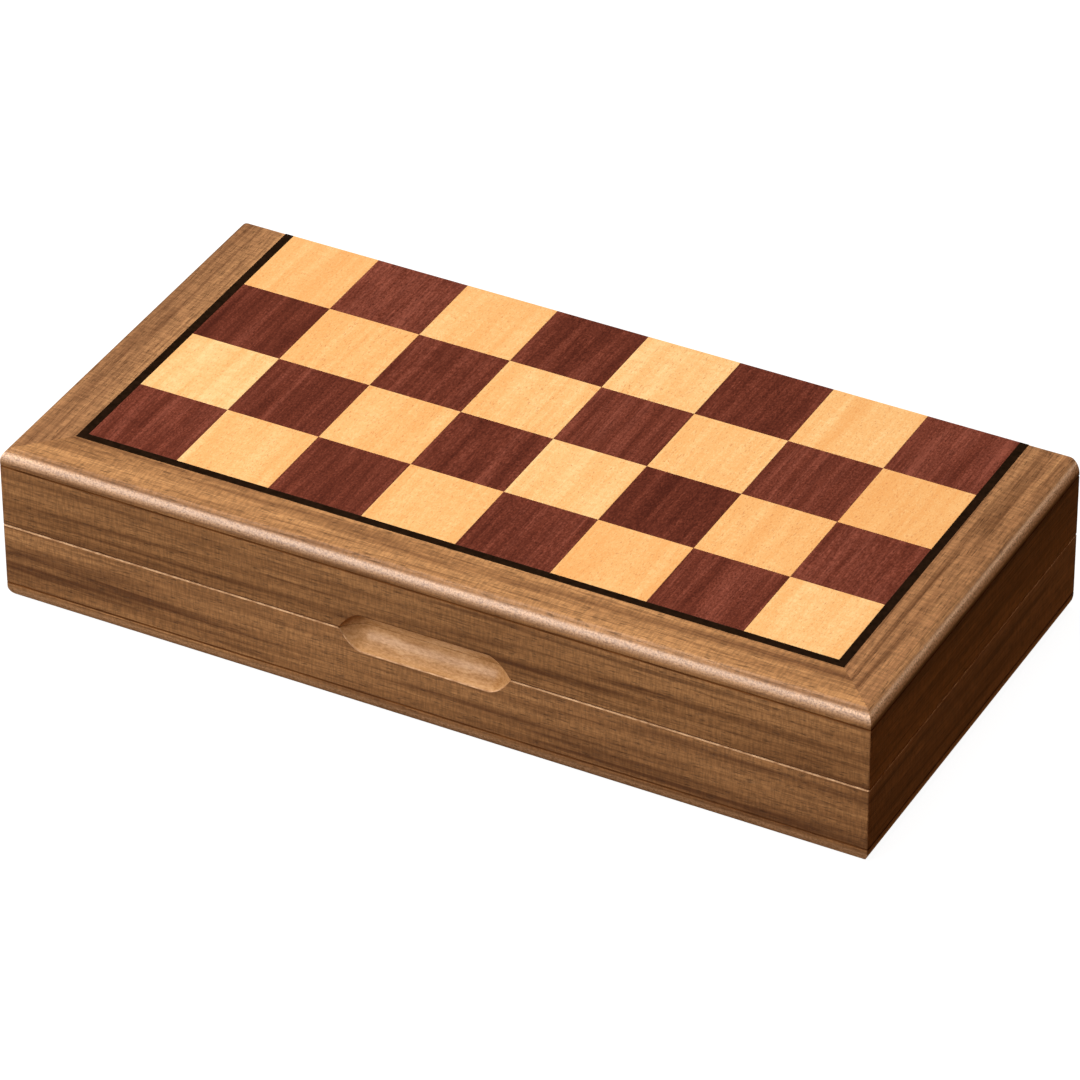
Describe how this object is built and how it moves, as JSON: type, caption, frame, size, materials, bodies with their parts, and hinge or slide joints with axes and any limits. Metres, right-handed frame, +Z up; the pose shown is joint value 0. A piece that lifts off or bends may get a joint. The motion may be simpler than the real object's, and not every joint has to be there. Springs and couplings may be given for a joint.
{
  "type": "folding chess set",
  "caption": "Folding wooden case whose outer faces form an inlaid chess board; it opens flat on hinges and stores turned chessmen in foam inserts.",
  "frame": {"origin": "middle of the closed case's underside, on the surface that it stands on", "axes": "+X along the hinge line, to the right as seen from the front; +Y from the front, where the finger scoop is, to the hinges; +Z up"},
  "size_m": [0.294, 0.149, 0.055],
  "materials": {
    "walnut": "satin lacquered walnut",
    "square_veneer": "satin lacquered squares of pale maple and dark mahogany veneer",
    "black_line": "satin lacquered black-dyed veneer line",
    "panel_plywood": "raw birch plywood",
    "lining_felt": "green wool felt",
    "insert_foam": "flocked green foam",
    "magnet_nickel": "nickel-plated",
    "hinge_brass": "lacquered brass",
    "dark_men": "polished dark-stained hardwood",
    "light_men": "polished pale boxwood"
  },
  "bodies": {
    "base": {"base_back_rail": "walnut", "base_front_rail": "walnut", "base_insert": "insert_foam", "base_left_magnet": "magnet_nickel", "base_left_rail": "walnut", "base_line_inlay": "black_line", "base_lining": "lining_felt", "base_panel": "panel_plywood", "base_right_magnet": "magnet_nickel", "base_right_rail": "walnut", "base_square_veneer": "square_veneer", "dark_bishop_1": "dark_men", "dark_bishop_2": "dark_men", "dark_king": "dark_men", "dark_knight_1": "dark_men", "dark_knight_2": "dark_men", "dark_pawn_1": "dark_men", "dark_pawn_2": "dark_men", "dark_pawn_3": "dark_men", "dark_pawn_4": "dark_men", "dark_pawn_5": "dark_men", "dark_pawn_6": "dark_men", "dark_pawn_7": "dark_men", "dark_pawn_8": "dark_men", "dark_queen": "dark_men", "dark_rook_1": "dark_men", "dark_rook_2": "dark_men", "left_hinge_base_leaf": "hinge_brass", "right_hinge_base_leaf": "hinge_brass", "left_hinge_pin": "hinge_brass", "right_hinge_pin": "hinge_brass"},
    "lid": {"lid_back_rail": "walnut", "lid_front_rail": "walnut", "lid_insert": "insert_foam", "lid_left_magnet": "magnet_nickel", "lid_left_rail": "walnut", "lid_line_inlay": "black_line", "lid_lining": "lining_felt", "lid_panel": "panel_plywood", "lid_right_magnet": "magnet_nickel", "lid_right_rail": "walnut", "lid_square_veneer": "square_veneer", "light_bishop_1": "light_men", "light_bishop_2": "light_men", "light_king": "light_men", "light_knight_1": "light_men", "light_knight_2": "light_men", "light_pawn_1": "light_men", "light_pawn_2": "light_men", "light_pawn_3": "light_men", "light_pawn_4": "light_men", "light_pawn_5": "light_men", "light_pawn_6": "light_men", "light_pawn_7": "light_men", "light_pawn_8": "light_men", "light_queen": "light_men", "light_rook_1": "light_men", "light_rook_2": "light_men", "left_hinge_lid_leaf": "hinge_brass", "right_hinge_lid_leaf": "hinge_brass"}
  },
  "joints": [
    {"name": "lid_hinge", "type": "hinge", "parent": "base", "child": "lid", "pos_m": [0, 0.0735, 0.0275], "axis": [-1, 0, 0], "range_deg": [0, 180]}
  ]
}
